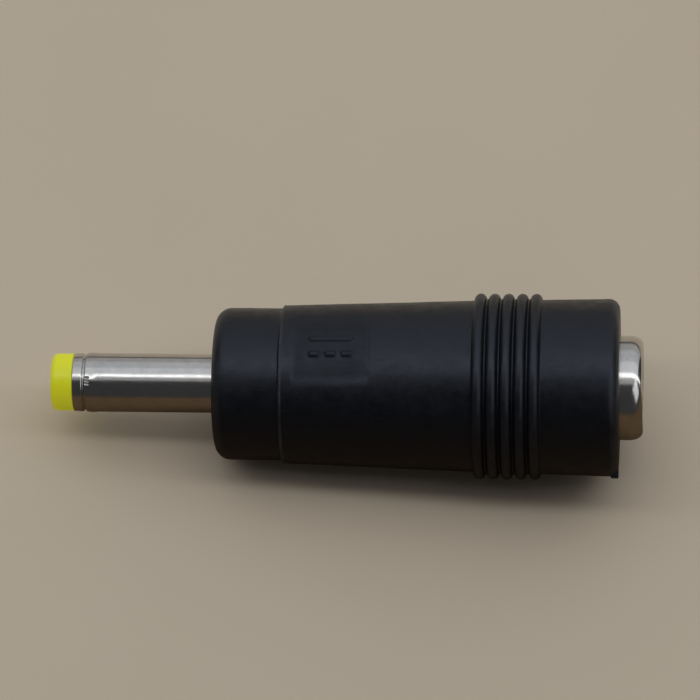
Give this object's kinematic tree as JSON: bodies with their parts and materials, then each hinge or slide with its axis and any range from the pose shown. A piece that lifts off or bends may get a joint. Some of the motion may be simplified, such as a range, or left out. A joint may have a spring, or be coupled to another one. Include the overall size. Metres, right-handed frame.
{
  "type": "barrel plug power adapter",
  "caption": "In-line DC adapter: slim barrel plug with an insulating tip on a black moulded ribbed grip, and a larger nickel-collared barrel jack with a centre pin in its other end.",
  "frame": {"origin": "on the adapter's axis, in the plane of the grip's nose face where the plug comes out", "axes": "+X along the axis from the plug's tip towards the jack's mouth, +Z the side that the moulded panel faces, +Y completes a right-handed frame"},
  "size_m": [0.0403, 0.0126, 0.0126],
  "materials": {
    "grip_black": "soft moulded PVC with a fine satin grain",
    "tip_yellow": "moulded, slightly glossy",
    "nickel_barrel": "bright nickel plate with fine lengthwise scuffs",
    "nickel_shell": "bright nickel plate with turned marks",
    "contact_tin": "thinly plated brass",
    "lug_tin": "tin-plated strip",
    "spring_bronze": "phosphor bronze strip",
    "jack_black": "moulded PBT",
    "bush_white": "moulded nylon",
    "mould_grey": "injected polyethylene, cloudy",
    "wire_red": "PVC insulation",
    "wire_black": "PVC insulation",
    "copper": "tinned stranded copper",
    "heatshrink": "shrunk polyolefin",
    "solder": "bright tin solder"
  },
  "bodies": {
    "adapter": {"outer_body": "grip_black", "inner_mould": "mould_grey", "plug_barrel": "nickel_barrel", "plug_tip_insulator": "tip_yellow", "plug_centre_contact": "contact_tin", "plug_rear_bush": "bush_white", "plug_sleeve_lug": "lug_tin", "jack_shell": "nickel_shell", "jack_insulator": "jack_black", "jack_centre_pin": "contact_tin", "jack_pin_lug": "lug_tin", "jack_spring_lug": "spring_bronze", "jack_rear_cover": "jack_black", "positive_wire_core": "copper", "positive_wire_insulation": "wire_red", "positive_heatshrink": "heatshrink", "negative_wire_core": "copper", "negative_wire_insulation": "wire_black", "solder_plug_contact": "solder", "solder_plug_sleeve": "solder", "solder_jack_pin": "solder", "solder_jack_spring": "solder"},
    "contact_leaf": {"jack_contact_spring": "spring_bronze"}
  },
  "joints": [
    {"name": "contact_leaf_flex", "type": "hinge", "parent": "adapter", "child": "contact_leaf", "pos_m": [0.01955, 0, 0.0029], "axis": [0, -1, 0], "range_deg": [0, 3.5], "stiffness_Nm_per_rad": 0.012, "springref_deg": -1.15}
  ]
}
